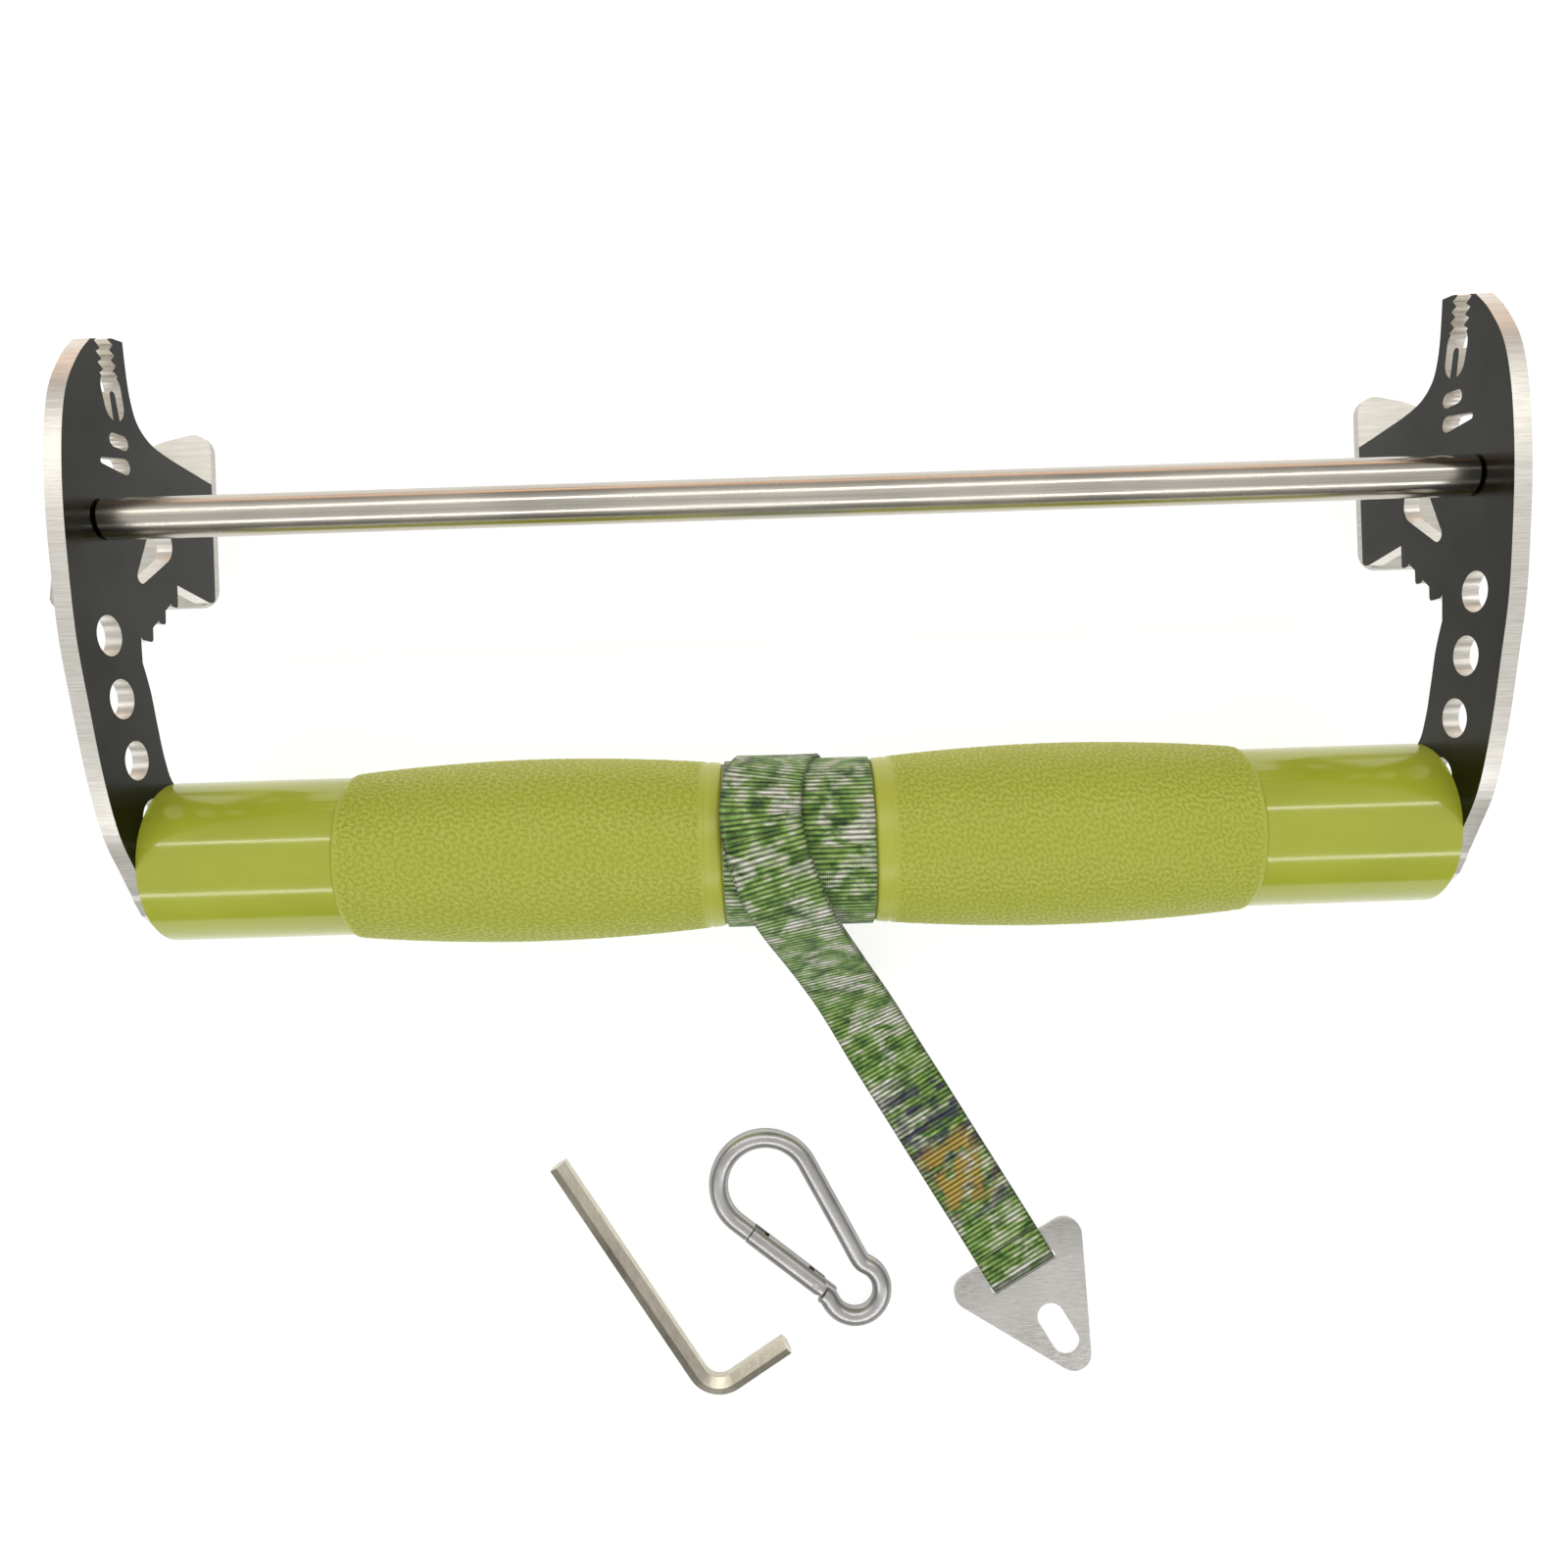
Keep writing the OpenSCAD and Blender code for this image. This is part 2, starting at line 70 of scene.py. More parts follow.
# ---- node helpers ----
class Mat:
    """A material and short ways to add nodes to it."""

    def __init__(self, name, base, metallic=0.0, rough=0.5):
        self.mat = bpy.data.materials.new(name)
        self.mat.use_nodes = True
        self.tree = self.mat.node_tree
        self.bsdf = self.tree.nodes["Principled BSDF"]
        self.set("Base Color", (*base, 1))
        self.set("Metallic", metallic)
        self.set("Roughness", rough)
        self.mat.diffuse_color = (*base, 1)

    def set(self, socket, value):
        self.bsdf.inputs[socket].default_value = value

    def to(self, socket, out):
        self.tree.links.new(out, self.bsdf.inputs[socket])

    def node(self, kind, inputs=(), **props):
        n = self.tree.nodes.new(kind)
        for key, value in props.items():
            setattr(n, key, value)
        for key, value in dict(inputs).items():
            self.feed(n.inputs[key], value)
        return n

    def feed(self, socket, value):
        if isinstance(value, bpy.types.NodeSocket):
            self.tree.links.new(value, socket)
        else:
            socket.default_value = value

    def place(self, stretch=(1, 1, 1)):
        coords = self.node("ShaderNodeTexCoord").outputs["Object"]
        return self.node("ShaderNodeMapping", {"Vector": coords, "Scale": stretch}).outputs[0]

    def noise(self, vector, scale, detail=3.0, rough=0.5, distortion=0.0):
        return self.node("ShaderNodeTexNoise", {
            "Vector": vector, "Scale": scale, "Detail": detail, "Roughness": rough,
            "Distortion": distortion}).outputs["Fac"]

    def math(self, op, a, b=0.0):
        n = self.node("ShaderNodeMath", operation=op)
        self.feed(n.inputs[0], a)
        self.feed(n.inputs[1], b)
        return n.outputs[0]

    def ramp(self, fac, stops):
        n = self.node("ShaderNodeValToRGB", {"Fac": fac})
        r = n.color_ramp
        while len(r.elements) < len(stops):
            r.elements.new(0.5)
        for e, (at, c) in zip(r.elements, stops):
            e.position = at
            e.color = (*c, 1)
        return n.outputs["Color"]

    def grey(self, fac, lo, hi, a=0.0, b=1.0):
        n = self.node("ShaderNodeMapRange", {"Value": fac, "From Min": a, "From Max": b,
                                             "To Min": lo, "To Max": hi})
        return n.outputs["Result"]

    def mix(self, fac, a, b):
        n = self.node("ShaderNodeMix", data_type="RGBA")
        self.feed(n.inputs[0], fac)
        self.feed(n.inputs[6], a if isinstance(a, bpy.types.NodeSocket) else (*a, 1))
        self.feed(n.inputs[7], b if isinstance(b, bpy.types.NodeSocket) else (*b, 1))
        return n.outputs[2]

    def bump(self, height, strength, distance):
        feed = {"Height": height, "Strength": strength, "Distance": distance}
        return self.node("ShaderNodeBump", feed).outputs[0]

    def parts(self, vector):
        return self.node("ShaderNodeSeparateXYZ", {"Vector": vector}).outputs


def brushed(name, base, rough, lines, tint=0.12, bump=0.02):
    """Satin metal: fine lines along the short axis of `lines`, cloudy tone and uneven polish."""
    m = Mat(name, base, 1.0, rough)
    fine = m.noise(m.place(lines), 1.0, 4, 0.65)
    cloud = m.noise(m.place(), 28, 3)
    tone = m.math("ADD", m.math("MULTIPLY", fine, 0.7), m.math("MULTIPLY", cloud, 0.3))
    dark = tuple(c * (1 - 2 * tint) for c in base)
    light = tuple(min(1, c * (1 + tint)) for c in base)
    m.to("Base Color", m.ramp(tone, [(0.3, dark), (0.7, light)]))
    m.to("Roughness", m.grey(cloud, rough * 0.75, rough * 1.3, 0.3, 0.7))
    m.to("Normal", m.bump(fine, bump, 0.0005))
    return m


# ---- materials ----
LIME = (0.425, 0.47, 0.036)


def plate_material():
    """Mirror faces painted near black as a painted dark reflection, and bright laser-cut edges with lines
    through the thickness.
    """
    m = Mat("plate_steel", (0.1, 0.1, 0.09), 1.0, 0.2)
    at = m.node("ShaderNodeTexCoord")
    side = m.math("ABSOLUTE", m.parts(at.outputs["Normal"])[0])
    edge = m.grey(side, 1.0, 0.0, 0.55, 0.8)
    cloud = m.noise(m.place(), 16, 4, 0.6)
    smear = m.noise(m.place((40, 14, 60)), 1.0, 3, 0.55, 0.6)
    # Face colour near black: a painted dark reflection, with random cloudy tone.
    face = m.ramp(cloud, [(0.32, (0.016, 0.016, 0.014)), (0.68, (0.036, 0.035, 0.03))])
    lines = m.noise(m.place((100, 3000, 3000)), 1.0, 3, 0.6)
    cut = m.ramp(lines, [(0.3, (0.66, 0.63, 0.57)), (0.5, (0.8, 0.77, 0.71)), (0.72, (0.93, 0.9, 0.84))])
    m.to("Base Color", m.mix(edge, face, cut))
    polish = m.grey(smear, 0.14, 0.27, 0.3, 0.7)
    m.to("Roughness", m.math("ADD", m.math("MULTIPLY", edge, 0.2), polish))
    height = m.math("ADD", m.math("MULTIPLY", m.math("MULTIPLY", edge, lines), 0.8),
                    m.math("MULTIPLY", smear, 0.05))
    m.to("Normal", m.bump(height, 0.2, 0.0001))
    return m.mat


def paint_material():
    m = Mat("tube_paint", LIME, 0.0, 0.16)
    cloud = m.noise(m.place((1, 2, 2)), 30, 3)
    peel = m.noise(m.place(), 420, 2)
    dark, light = (tuple(c * k for c in LIME) for k in (0.93, 1.05))
    m.to("Base Color", m.ramp(cloud, [(0.3, dark), (0.7, light)]))
    m.to("Roughness", m.grey(cloud, 0.12, 0.2, 0.3, 0.7))
    m.to("Normal", m.bump(peel, 0.035, 0.0004))
    m.set("Coat Weight", 0.3)
    m.set("Coat Roughness", 0.04)
    return m.mat


def grip_material():
    m = Mat("grip_rubber", LIME, 0.0, 0.6)
    grain = m.node("ShaderNodeAttribute", attribute_name="grain").outputs["Fac"]
    cloud = m.noise(m.place(), 22, 3)
    micro = m.noise(m.place(), 2600, 2)
    # Base colour darker in the grain's grooves and lighter on its crests: painted shade of the grain, mixed
    # with random cloudy tone.
    tone = m.math("ADD", m.math("MULTIPLY", grain, 0.75), m.math("MULTIPLY", cloud, 0.25))
    m.to("Base Color", m.ramp(tone, [(0.1, (0.36, 0.4, 0.026)), (0.5, (0.43, 0.47, 0.04)),
                                     (0.95, (0.48, 0.515, 0.06))]))
    m.to("Roughness", m.grey(grain, 0.55, 0.33))
    m.to("Normal", m.bump(micro, 0.12, 0.0001))
    m.set("Specular IOR Level", 0.55)
    return m.mat


RIB = 1.6               # pitch of the webbing's ribs, mm


def webbing_material():
    """Ribbed webbing with a blotched leaf-and-petal print. UV is millimetres across and along."""
    m = Mat("webbing", (0.2, 0.32, 0.12), 0.0, 0.8)
    uv = m.node("ShaderNodeTexCoord").outputs["UV"]
    across, along = m.parts(uv)[0], m.parts(uv)[1]

    def blotch(size, stretch, shift, detail=2.0):
        at = m.node("ShaderNodeMapping", {"Vector": uv, "Scale": (1 / (size * stretch), 1 / size, 1),
                                          "Location": (shift, shift * 1.7, 0)}).outputs[0]
        return m.noise(at, 1.0, detail, 0.6, 0.35)

    big, mid, fine = blotch(13, 1.0, 3), blotch(5.5, 1.5, 11), blotch(2.2, 2.4, 23, 3)
    body = m.math("ADD", m.math("MULTIPLY", mid, 0.62), m.math("MULTIPLY", fine, 0.38))
    green = m.ramp(body, [(0.33, (0.035, 0.08, 0.02)), (0.41, (0.09, 0.2, 0.035)), (0.47, (0.18, 0.34, 0.06)),
                          (0.54, (0.29, 0.47, 0.12)), (0.62, (0.5, 0.6, 0.32))])
    petal = m.math("ADD", m.math("MULTIPLY", big, 0.5), m.math("MULTIPLY", m.math("ADD", mid, fine), 0.25))
    pale = m.ramp(fine, [(0.36, (0.5, 0.55, 0.36)), (0.47, (0.78, 0.75, 0.66)), (0.62, (0.92, 0.87, 0.82))])
    col = m.mix(m.grey(petal, 0, 0.85, 0.49, 0.6), green, pale)

    def window(v, centre, half):
        gap = m.math("ABSOLUTE", m.math("SUBTRACT", v, centre))
        return m.grey(gap, 1, 0, half * 0.6, half)

    def patch(colour, base, v, u, half_v, half_u, where, lo):
        area = m.math("MULTIPLY", window(along, v, half_v), window(across, u, half_u))
        return m.mix(m.math("MULTIPLY", area, m.grey(where, 0, 0.92, lo, lo + 0.13)), base, colour)

    col = patch((0.035, 0.025, 0.09), col, TAIL_LEN - 40, 11, 34, 15, blotch(4.5, 2.2, 61), 0.47)
    col = patch((0.035, 0.025, 0.09), col, TAIL_LEN - 47, 16, 12, 12, blotch(4, 2.6, 71), 0.47)
    col = patch((0.56, 0.38, 0.06), col, TAIL_LEN - 31, 13, 15, 12, blotch(6, 1.2, 41), 0.42)
    col = patch((0.55, 0.26, 0.05), col, ORANGE_V, 13, 22, 14, blotch(6, 1.0, 51), 0.47)
    # Near black at the fold's turn at the strap's far end: a painted shadow of the rounded fold.
    end = m.grey(along, 0, 1, TAIL_LEN + FOLD_REACH - 0.4, TAIL_LEN + FOLD_REACH + 1.2)
    col = m.mix(m.math("MULTIPLY", end, 0.75), col, (0.03, 0.045, 0.015))
    wave = m.math("SINE", m.math("MULTIPLY", along, 2 * math.pi / RIB))
    rib = m.grey(wave, 0, 1, -1, 1)
    yarn = m.grey(m.math("SINE", m.math("MULTIPLY", across, 2 * math.pi / 0.62)), 0, 1, -1, 1)
    rim = m.grey(m.math("ABSOLUTE", m.math("SUBTRACT", across, 12.5)), 0, 1, 11.2, 12.1)
    # Colour darker in the rib troughs and brighter on the crests: partly the weave's own two colours, partly
    # painted shade of the ribs; also darker towards the strap's two long edges.
    shade = m.grey(m.math("MULTIPLY", rib, m.grey(yarn, 0.75, 1.0)), 0.24, 1.42)
    shade = m.math("MULTIPLY", shade, m.grey(rim, 1.0, 0.5))
    col = m.node("ShaderNodeVectorMath", {0: col, 1: shade}, operation="MULTIPLY").outputs[0]
    m.to("Base Color", col)
    m.to("Roughness", m.grey(rib, 0.9, 0.62))
    height = m.math("ADD", rib, m.math("MULTIPLY", yarn, 0.35))
    m.to("Normal", m.bump(height, 0.8, 0.0004))
    m.set("Sheen Weight", 0.25)
    m.set("Sheen Roughness", 0.4)
    return m.mat


def polished_material():
    m = Mat("hook_steel", (0.42, 0.42, 0.41), 1.0, 0.3)
    cloud = m.noise(m.place(), 60, 4, 0.6)
    scuff = m.noise(m.place((900, 160, 900)), 1.0, 3, 0.6)
    m.to("Base Color", m.ramp(cloud, [(0.3, (0.42, 0.41, 0.4)), (0.7, (0.56, 0.55, 0.535))]))
    m.to("Roughness", m.grey(m.math("MULTIPLY", cloud, scuff), 0.3, 0.38, 0.12, 0.4))
    m.to("Normal", m.bump(cloud, 0.01, 0.0002))
    m.set("Specular Tint", (0.3, 0.3, 0.29, 1))
    return m.mat


# ---- mesh helpers ----
def piece(name, verts, faces, body, slot, mat, stands_for=(), uv=None, smooth=True):
    """A mesh piece, its points in millimetres in the row frame, riding on a CAD body."""
    me = bpy.data.meshes.new(name)
    me.from_pydata((np.asarray(verts, float) * MM).tolist(), [], faces)
    me.validate()
    if uv is not None:
        layer = me.uv_layers.new(name="UVMap")
        index = np.empty(len(me.loops), dtype=np.int32)
        me.loops.foreach_get("vertex_index", index)
        layer.data.foreach_set("uv", np.asarray(uv, np.float32)[index].ravel())
    me.polygons.foreach_set("use_smooth", [smooth] * len(me.polygons))
    me.update()
    o = bpy.data.objects.new(name, me)
    scene.collection.objects.link(o)
    me.materials.append(mat)
    if stands_for:
        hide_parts(*stands_for)
    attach(o, body)
    return o


def unit(v):
    return v / np.linalg.norm(v, axis=-1, keepdims=True)


def smooth_path(points, step=2.0):
    """Catmull-Rom through the points, then even steps along it. Extra columns go along."""
    p = np.asarray(points, float)
    ext = np.vstack([2 * p[0] - p[1], p, 2 * p[-1] - p[-2]])
    out = []
    for i in range(len(p) - 1):
        a, b, c, d = ext[i:i + 4]
        for t in np.linspace(0, 1, 12, endpoint=False):
            out.append(0.5 * (2 * b + (c - a) * t + (2 * a - 5 * b + 4 * c - d) * t * t
                              + (3 * b - a - 3 * c + d) * t ** 3))
    out = np.array(out + [p[-1]])
    run = np.concatenate([[0], np.cumsum(np.linalg.norm(np.diff(out[:, :3], axis=0), axis=1))])
    even = np.linspace(0, run[-1], max(2, int(round(run[-1] / step)) + 1))
    return np.column_stack([np.interp(even, run, out[:, k]) for k in range(out.shape[1])]), even


def ribbon(path, tilt, run, width, thick, lift=0.0):
    """Webbing along a path: points, faces and UV. tilt is the slope in degrees at each point."""
    t = unit(np.gradient(path, axis=0))
    s = np.radians(tilt)
    up = np.column_stack([np.zeros(len(s)), -np.sin(s), np.cos(s)])
    w = unit(np.cross(up, t))
    n = unit(np.cross(t, w))
    half, b = width / 2, thick / 2
    cols = np.linspace(-1, 1, 9)
    round_off = 0.35 * thick
    ring = [(c * half, b) for c in cols]
    ring += [(half + round_off * 0.6, 0)]
    ring += [(c * half, -b) for c in cols[::-1]]
    ring += [(-half - round_off * 0.6, 0)]
    m = len(ring)
    verts, uv = [], []
    for i in range(len(path)):
        for a, h in ring:
            verts.append(path[i] - a * w[i] + (h + lift) * n[i])
            uv.append((a + 12.5, run[i]))
    faces = []
    for i in range(len(path) - 1):
        for k in range(m):
            faces.append((i * m + k, i * m + (k + 1) % m, (i + 1) * m + (k + 1) % m, (i + 1) * m + k))
    faces.append(tuple(range(m - 1, -1, -1)))
    faces.append(tuple((len(path) - 1) * m + k for k in range(m)))
    return verts, faces, uv


def join(chunks):
    """Several (points, faces, UV) as one."""
    verts, faces, uv = [], [], []
    for v, f, u in chunks:
        faces += [tuple(k + len(verts) for k in face) for face in f]
        verts += list(v)
        uv += list(u)
    return verts, faces, uv


# ---- the free strap: [x, y from the bar's axis, z, slope], as in the CAD ----
TAIL = [[-10.9, 4, 59.1, -8], [-8.9, -4, 59.1, 8], [-6.3, -12, 56.9, 24], [-3.4, -19.3, 52.6, 38],
        [-0.4, -25.6, 46.4, 50], [3, -31.6, 38.6, 53], [7, -38.4, 29.4, 52], [11.2, -45.6, 20.6, 48],
        [15.8, -53.4, 12.8, 40], [20.6, -62, 6.8, 27], [25.8, -71.4, 3.4, 12], [31.9, -82, 1.9, 3],
        [39.2, -94.4, 1.7, 0], [47, -107.8, 1.7, 0], [55.1, -121.6, 1.7, 0], [63.2, -135.4, 1.7, 0],
        [68.4, -144.4, 2, -2]]
WEB_W = 25.0
WEB_T = 1.3
WRAP_R = TUBE_R + 0.1
SECOND_R = WRAP_R + 1.5 * WEB_T    # middle of the second layer
tail = np.array(TAIL, float)
tail[:, 1] += BAR_Y
tail_path, tail_run = smooth_path(tail)
TAIL_LEN = float(tail_run[-1])
ORANGE_V = -172.0
FOLD_REACH = 9.8       # from the tail's end to the turn of the fold

web_mat = webbing_material()
layers = [ribbon(tail_path[:, :3], tail_path[:, 3], tail_run, WEB_W - 1, WEB_T - 0.06, lift)
          for lift in (WEB_T / 2, -WEB_T / 2)]
strap_tail = piece("strap_tail_web", *join(layers)[:2], "frame", "webbing", web_mat,
                   ["strap_tail"], join(layers)[2])

# The fold of webbing round the tab's bar, drawn along -Y from the strap's end.
TAIL_TURN = math.radians(30)
FOLD_Z = 2.3
FOLD_R = 1.65
end = tail[-1, :3]
fold = [(0, 0.4, 2 + WEB_T / 2), (0, -0.8, 3.4), (0, -2.2, FOLD_Z + FOLD_R), (0, -6, FOLD_Z + FOLD_R)]
fold += [(0, -FOLD_REACH - FOLD_R * math.sin(a), FOLD_Z + FOLD_R * math.cos(a))
         for a in np.linspace(0, math.pi, 9)]
fold += [(0, -6, FOLD_Z - FOLD_R), (0, -2.2, FOLD_Z - FOLD_R), (0, -0.8, 0.95), (0, 0.4, 2 - WEB_T / 2)]
fold = np.array(fold, float)


def strip(section, run0, width, thick):
    """Webbing bent in one plane: section is (.., y, z) points, extruded to the width along X."""
    p = section[:, 1:]
    t = unit(np.gradient(p, axis=0))
    n = np.column_stack([t[:, 1], -t[:, 0]])
    run = run0 + np.concatenate([[0], np.cumsum(np.linalg.norm(np.diff(p, axis=0), axis=1))])
    cols = np.linspace(-width / 2, width / 2, 9)
    ring = [(c, -thick / 2) for c in cols] + [(width / 2 + 0.25, 0)]
    ring += [(c, thick / 2) for c in cols[::-1]] + [(-width / 2 - 0.25, 0)]
    m = len(ring)
    verts = [(a, *(p[i] + h * n[i])) for i in range(len(p)) for a, h in ring]
    uv = [(a + 12.5, run[i]) for i in range(len(p)) for a, h in ring]
    faces = [(i * m + k, (i + 1) * m + k, (i + 1) * m + (k + 1) % m, i * m + (k + 1) % m)
             for i in range(len(p) - 1) for k in range(m)]
    faces += [tuple(range(m)), tuple((len(p) - 1) * m + k for k in range(m - 1, -1, -1))]
    return verts, faces, uv


def turned(points, angle, to):
    """Points turned about Z and moved."""
    c, s = math.cos(angle), math.sin(angle)
    return [(to[0] + c * x - s * y, to[1] + s * x + c * y, z) for x, y, z in points]


v, f, u = strip(fold, TAIL_LEN, WEB_W - 1, WEB_T - 0.06)
strap_fold = piece("strap_fold_web", turned(v, TAIL_TURN, end), f, "frame", "webbing", web_mat,
                   ["strap_fold"], u)


# The turns round the tube: a plain one on each side, and the top one that runs into the tail.
def turn(angles, xs, radii, run0, width):
    """Webbing round the tube, through angles in degrees from the top towards +Y."""
    a = np.radians(angles)
    path = np.column_stack([xs, BAR_Y + radii * np.sin(a), BAR_Z + radii * np.cos(a)])
    step = np.linalg.norm(np.diff(path, axis=0), axis=1)
    run = run0 + np.concatenate([[0], np.cumsum(step)])
    return ribbon(path, -np.asarray(angles, float), run, width, WEB_T - 0.08)


# Angles round the tube, in degrees from the top towards +Y.
TAIL_START = 7.7        # where the free strap begins
TAIL_R = 29.97          # its middle there, from the bar's axis
OVER_START = 262.0      # where the top turn begins, out of sight
OVER_END = 3.2          # where it ends, sunk into the free strap, so no seam shows
full = np.linspace(360, 0, 97)
low = np.full(97, WRAP_R + WEB_T / 2 + 0.02)
left_ring = turn(full, np.full(97, -11.6), low, 20, 22.6)
right_ring = turn(full, np.full(97, 11.6), low + 0.15, -230, 22.8)
over = np.linspace(OVER_START, OVER_END, 92)
over_x = np.interp(over, [OVER_END, TAIL_START, 20, 45, 70, 100, 150, OVER_START],
                   [-10.4, -10.9, -11.5, -10.6, -7.6, -4.4, 0.5, 6])
over_r = np.interp(over, [OVER_END, TAIL_START, 40, 90, 240, OVER_START],
                   [TAIL_R, TAIL_R + WEB_T / 2 + 0.04, SECOND_R + 0.9, SECOND_R + 0.25,
                    SECOND_R, SECOND_R - 0.4])
over_len = math.radians(OVER_START - TAIL_START) * float(over_r.mean())
top_turn = turn(over, over_x, over_r, -over_len, WEB_W - 0.9)
v, f, u = join([left_ring, right_ring, top_turn])
piece("strap_turns_web", v, f, "frame", "webbing", web_mat, ["strap_wrap"], u)

# ---- grips: barrels with a worm-like pebble grain cut into them ----
GRIP_STEP = 0.44        # mm between the mesh's points
GRAIN_PITCH = 1.75      # mm between neighbouring worms
GRAIN_DEEP = 0.32
grip_mat = grip_material()


def grain_field(s, theta, radius, seed):
    """A narrow band of waves in all directions: winding ridges that close round the grip."""
    rng = np.random.default_rng(seed)
    k0 = 2 * math.pi / GRAIN_PITCH
    total = np.zeros((len(s), len(theta)))
    waves = 34
    for i in range(waves):
        a = math.pi * (i + rng.random()) / waves
        k = k0 * rng.uniform(0.62, 1.35)
        around = round(k * radius * math.sin(a))
        total += np.cos(k * math.cos(a) * s[:, None] + around * theta[None, :] + rng.uniform(0, 2 * math.pi))
    return total / math.sqrt(waves / 2)


def make_grip(node, side, seed):
    """The barrel of a grip with its grain, closed by flat ends and its bore."""
    lo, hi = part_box(node)
    length = (hi[0] - lo[0]) / MM
    near = (lo[0] if side > 0 else -hi[0]) / MM
    rc = (hi[2] - lo[2]) / 2 / MM
    s = np.arange(0, length + 0.01, GRIP_STEP)
    n = int(round(2 * math.pi * rc / GRIP_STEP))
    theta = np.linspace(0, 2 * math.pi, n, endpoint=False)
    bulge = np.sin(np.pi * np.clip((s - 2) / (length - 3), 0, 1)) ** 0.85
    r = rc - 3.0 + 3.0 * bulge
    r -= 0.8 * np.clip(1 - s / 1.6, 0, 1) ** 2 + 0.9 * np.clip(1 - (length - s) / 1.3, 0, 1) ** 2
    r -= 0.35 * np.exp(-((s - 4.9) / 0.45) ** 2)
    grained = np.clip((s - 5.6) / 1.6, 0, 1) * np.clip((length - 1.0 - s) / 1.0, 0, 1)
    f = grain_field(s, theta, rc, seed)
    h = np.clip((f + 0.9) / 1.9, 0, 1)
    h = h * h * (3 - 2 * h)
    h = 1 - (1 - h) * grained[:, None]
    rad = r[:, None] - GRAIN_DEEP * (1 - h)
    x = side * (near + s)
    y = BAR_Y + rad * np.sin(theta)[None, :]
    z = BAR_Z + rad * np.cos(theta)[None, :]
    verts = np.stack([np.broadcast_to(x[:, None], y.shape), y, z], axis=-1).reshape(-1, 3)
    rows = len(s)
    inner = TUBE_R + 0.12
    ends = [[(x[i], BAR_Y + inner * math.sin(t), BAR_Z + inner * math.cos(t)) for t in theta]
            for i in (0, -1)]
    verts = np.vstack([verts, ends[0], ends[1]])
    i, k = np.meshgrid(np.arange(rows - 1), np.arange(n), indexing="ij")
    k2 = (k + 1) % n
    quads = np.stack([i * n + k, (i + 1) * n + k, (i + 1) * n + k2, i * n + k2], axis=-1).reshape(-1, 4)
    k = np.arange(n)
    k2 = (k + 1) % n
    a, b, last = rows * n, (rows + 1) * n, (rows - 1) * n
    near_cap = np.stack([a + k, k, k2, a + k2], axis=-1)
    far_cap = np.stack([last + k, b + k, b + k2, last + k2], axis=-1)
    bore = np.stack([b + k, a + k, a + k2, b + k2], axis=-1)
    faces = np.vstack([quads, near_cap, far_cap, bore])
    if side > 0:
        faces = faces[:, ::-1]
    o = piece(node + "_grained", verts, faces.tolist(), "frame", "grip_rubber", grip_mat, [node])
    grain = o.data.attributes.new("grain", "FLOAT", "POINT")
    grain.data.foreach_set("value", np.concatenate([h.ravel(), np.ones(2 * n)]).astype(np.float32))
    return o


make_grip("grip_left", -1, 5)
make_grip("grip_right", 1, 9)

# ---- snap hook: the bent wire as one smooth sweep, as in the CAD ----
HOOK_AT = (-15.0, BAR_Y - 120.4, 3.5)
HOOK_TURN = math.radians(-51)
WIRE_R, BOW_R, EYE_R = 3.3, 16.3, 9.4
EYE = np.array([47.7, 0.0])
PIVOT = np.array([37.1, 8.9])
NOSE = 5.6              # from the end of the straight to the nose's tip
BOW_STEPS = 56
BACK_BEND = slice(BOW_STEPS + 2, BOW_STEPS + 10)    # points that soften the bend into the eye
tangent = math.atan2(PIVOT[1], PIVOT[0]) + math.acos(BOW_R / np.linalg.norm(PIVOT))
touch = BOW_R * np.array([math.cos(tangent), math.sin(tangent)])
way = unit(PIVOT - touch)
straight = float(np.linalg.norm(PIVOT - touch))


def arc(centre, r, a0, a1, n):
    """Points on an arc, angles in radians."""
    a = np.linspace(a0, a1, n)
    return [np.array([centre[0] + r * math.cos(t), centre[1] + r * math.sin(t)]) for t in a]


mirror_y = np.array([1, -1])
nose_tip = (PIVOT - (straight - NOSE) * way) * mirror_y
back_end = touch + way * straight * 1.04
wire = [nose_tip, nose_tip + 0.3 * (nose_tip - PIVOT * mirror_y) / (straight - NOSE)]
wire += arc((0, 0), BOW_R, 2 * math.pi - tangent, tangent, BOW_STEPS)
wire += [touch + way * straight * t for t in (0.25, 0.5, 0.75, 0.96)] + [back_end]
wire += arc(EYE, EYE_R, math.radians(128), math.radians(-112), 44) + [PIVOT * mirror_y + (4.6, -0.4)]
wire = np.array(wire)
for _ in range(2):
    inner = wire[1:-1]
    inner[BACK_BEND] = (0.25 * wire[:-2] + 0.5 * wire[1:-1] + 0.25 * wire[2:])[BACK_BEND]


def sweep(points, radius, sides=28):
    """A round wire along points in a plane."""
    t = unit(np.gradient(points, axis=0))
    verts = []
    for p, d in zip(points, t):
        for k in range(sides):
            a = 2 * math.pi * k / sides
            u = radius * math.cos(a)
            verts.append((p[0] - u * d[1], p[1] + u * d[0], radius * math.sin(a)))
    n = len(points)
    faces = []
    for i in range(n - 1):
        for k in range(sides):
            k2 = (k + 1) % sides
            faces.append((i * sides + k, i * sides + k2, (i + 1) * sides + k2, (i + 1) * sides + k))
    faces += [tuple(range(sides - 1, -1, -1)), tuple((n - 1) * sides + k for k in range(sides))]
    return verts, faces


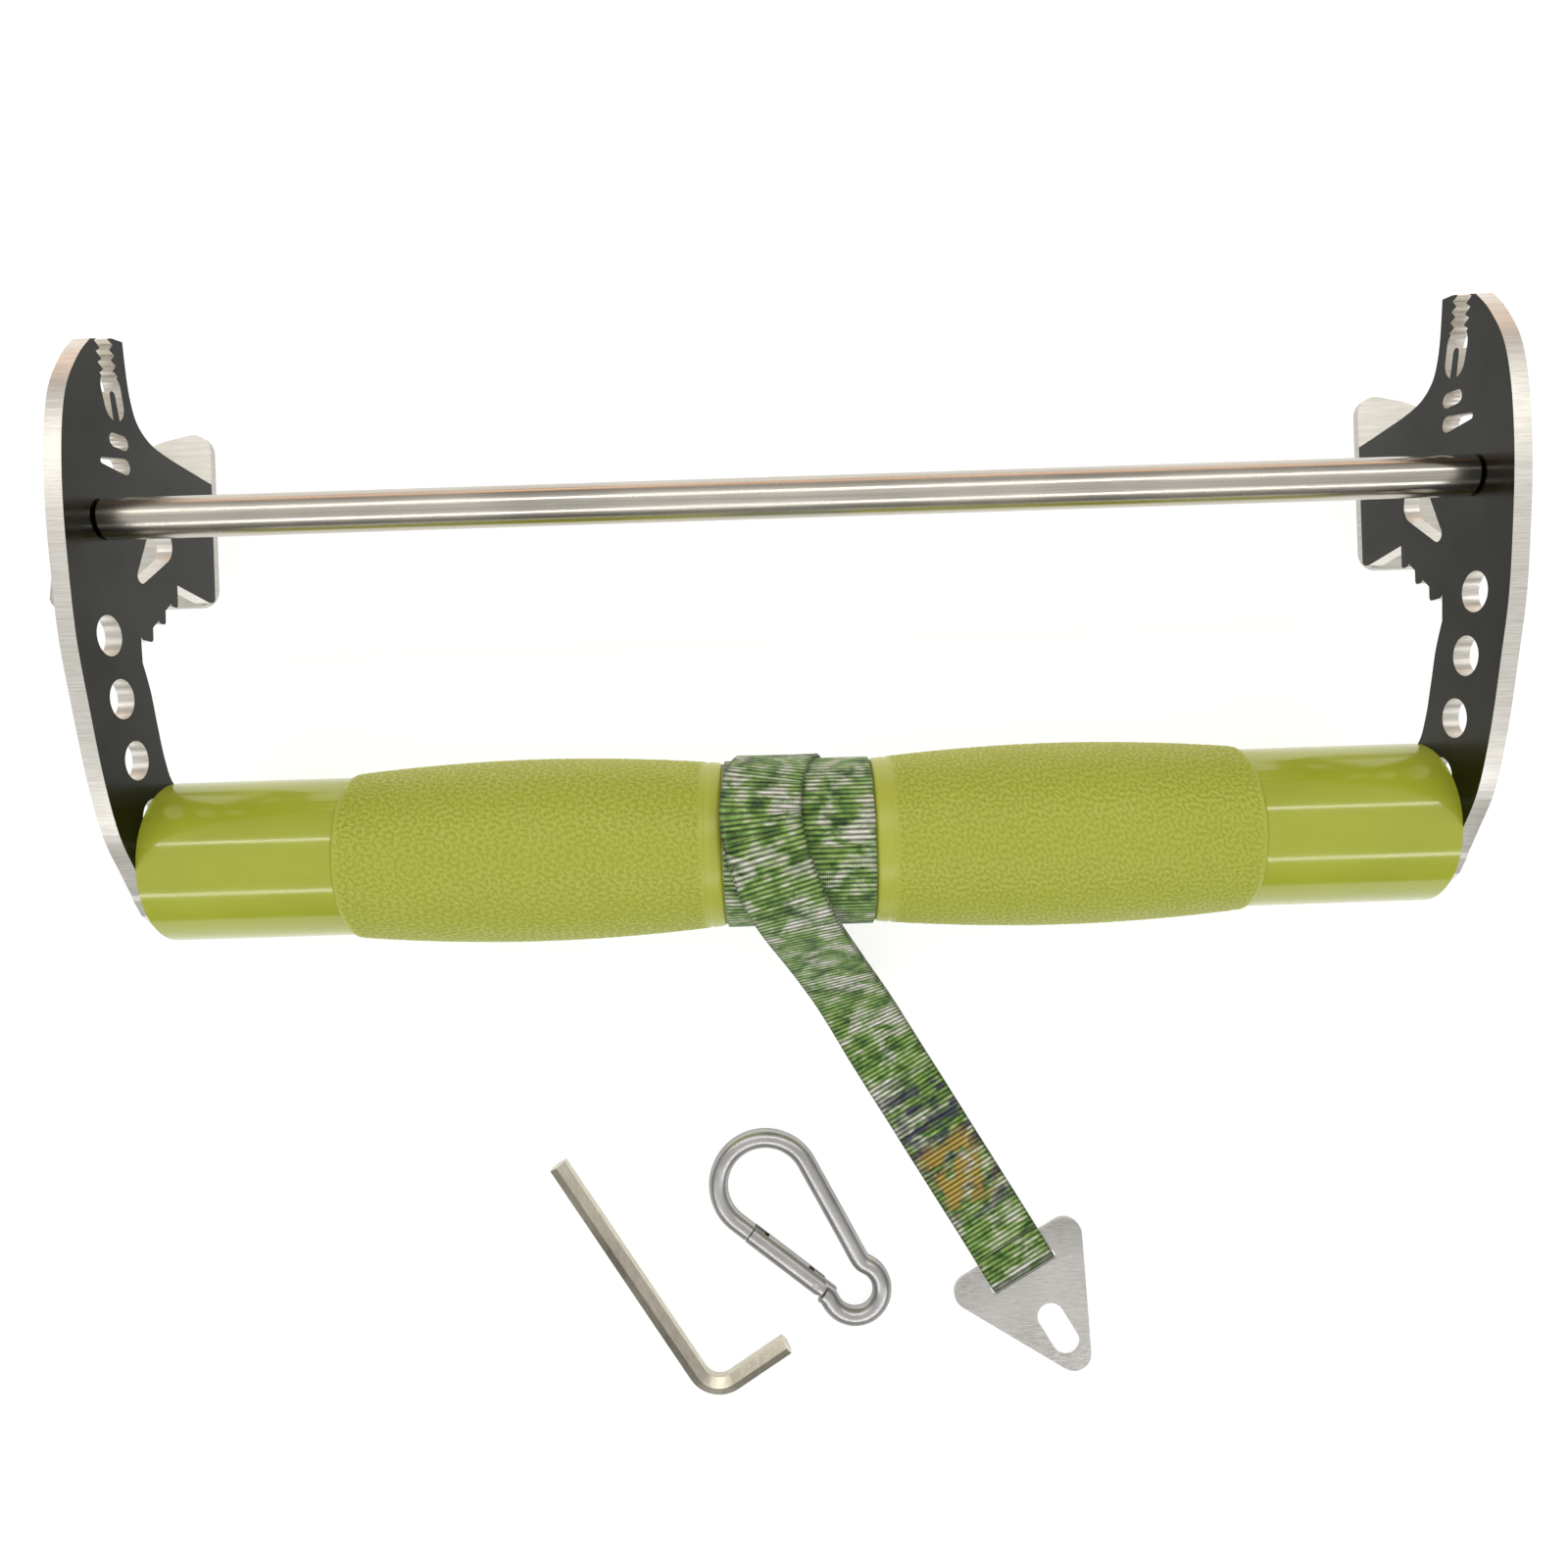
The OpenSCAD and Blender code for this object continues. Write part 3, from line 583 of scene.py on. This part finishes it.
def slab(x0, x1, y0, y1, half_z, ch=0.25):
    """A flat tongue with chamfered long edges."""
    section = [(y0 + ch, -half_z), (y1 - ch, -half_z), (y1, -half_z + ch), (y1, half_z - ch),
               (y1 - ch, half_z), (y0 + ch, half_z), (y0, half_z - ch), (y0, -half_z + ch)]
    verts = [(x, y, z) for x in (x0, x1) for y, z in section]
    faces = [(k, 8 + k, 8 + (k + 1) % 8, (k + 1) % 8) for k in range(8)]
    return verts, faces + [tuple(range(8)), tuple(range(15, 7, -1))]


def shifted(v, f, count):
    return [tuple(k + count for k in face) for face in f]


hook_v, hook_f = sweep(wire, WIRE_R)
gate_heading = math.pi + math.atan2(-way[1], way[0])
pin = PIVOT * mirror_y
for x0, x1, y0, y1 in ((straight - NOSE - 5, straight - NOSE + 1, -2.4, 2.4), (-7, 2.7, -2.8, 2.8)):
    v, f = slab(x0, x1, y0, y1, 1.3)
    c, s = math.cos(gate_heading), math.sin(gate_heading)
    hook_f += shifted(v, f, len(hook_v))
    hook_v += [(pin[0] + c * x - s * y, pin[1] + s * x + c * y, z) for x, y, z in v]
polished = polished_material()
hook_world = [(HOOK_AT[0] + math.cos(HOOK_TURN) * x - math.sin(HOOK_TURN) * y,
               HOOK_AT[1] + math.sin(HOOK_TURN) * x + math.cos(HOOK_TURN) * y, HOOK_AT[2] + z)
              for x, y, z in hook_v]
hook = piece("hook_wire_smooth", hook_world, hook_f, "carabiner", "hook_steel", polished, ["hook_wire"])
crease = hook.modifiers.new("ends", "EDGE_SPLIT")
crease.split_angle = math.radians(42)

# ---- materials of the carried-over CAD nodes ----
plate = plate_material()
pads = brushed("pad_steel", (0.56, 0.54, 0.49), 0.33, (60, 900, 60))
rod = brushed("rod_steel", (0.6, 0.56, 0.49), 0.24, (14, 1500, 1500), 0.14, 0.03)
bolt = brushed("bolt_steel", (0.55, 0.55, 0.53), 0.3, (700, 700, 700))
tab = brushed("tab_steel", (0.5, 0.485, 0.455), 0.3, (260, 1500, 60), 0.14, 0.06)
key = brushed("key_zinc", (0.62, 0.575, 0.46), 0.26, (500, 180, 500), 0.12, 0.01)
paint = paint_material()
given = {
    plate: ["side_plate_left", "side_plate_right"],
    pads.mat: ["wall_pad_left", "wall_pad_right"],
    rod.mat: ["spreader_rod"],
    paint: ["cross_tube"],
    bolt.mat: ["tube_plug_left", "tube_plug_right", "tube_washers", "tube_bolts", "rod_washers", "rod_bolts"],
    tab.mat: ["strap_tab"],
    polished: ["hook_gate", "hook_gate_pin", "hook_gate_spring"],
    key.mat: ["hex_key"]}
for mat, names in given.items():
    for name in names:
        slots = nodes[name].data.materials
        slots.clear()
        slots.append(mat)

# ---- floor, light and world ----
floor_mat = Mat("floor", (0.35, 0.35, 0.35), 0.0, 0.9)
floor_mat.set("Emission Color", (1, 1, 1, 1))
floor_mat.set("Emission Strength", 0.8)
patches = floor_mat.noise(floor_mat.place(), 9)
floor_mat.to("Base Color", floor_mat.ramp(patches, [(0, (0.33, 0.33, 0.33)), (1, (0.37, 0.37, 0.37))]))
me = bpy.data.meshes.new("floor")
me.from_pydata([(x, y, -0.0004) for x, y in ((-3, -3), (3, -3), (3, 3), (-3, 3))], [], [(0, 1, 2, 3)])
me.materials.append(floor_mat.mat)
floor = bpy.data.objects.new("floor", me)
scene.collection.objects.link(floor)


def strip_light(name, at, size, power, colour):
    """An area light, turned to the bar."""
    data = bpy.data.lights.new(name, "AREA")
    data.shape = "RECTANGLE"
    data.size, data.size_y = size
    data.energy = power
    data.color = colour
    o = bpy.data.objects.new(name, data)
    o.location = at
    o.rotation_euler = (Vector((0, BAR_Y * MM, 0)) - Vector(at)).to_track_quat("-Z", "Y").to_euler()
    scene.collection.objects.link(o)
    return o


strip_light("strip_back", (0, 0.62, 1.15), (2.6, 0.07), 5, (1, 0.97, 0.92))
strip_light("strip_front", (0, -0.95, 1.0), (2.6, 0.11), 6, (1, 1, 1))
strip_light("warm_wall", (0, 1.3, 0.25), (2.2, 0.3), 3, (1, 0.62, 0.4))
world = bpy.data.worlds.new("world")
scene.world = world
world.use_nodes = True
wt = world.node_tree
sky = wt.nodes.new("ShaderNodeTexCoord")
split = wt.nodes.new("ShaderNodeSeparateXYZ")
ramp = wt.nodes.new("ShaderNodeValToRGB")
wt.links.new(sky.outputs["Generated"], split.inputs[0])
wt.links.new(split.outputs[2], ramp.inputs[0])
wt.links.new(ramp.outputs[0], wt.nodes["Background"].inputs[0])
ramp.color_ramp.elements[0].color = (0.16, 0.155, 0.14, 1)
ramp.color_ramp.elements[1].color = (0.95, 0.95, 0.95, 1)
ramp.color_ramp.elements[0].position = 0.08
ramp.color_ramp.elements[1].position = 0.85
wt.nodes["Background"].inputs[1].default_value = 0.75
scene.view_settings.view_transform = "Standard"
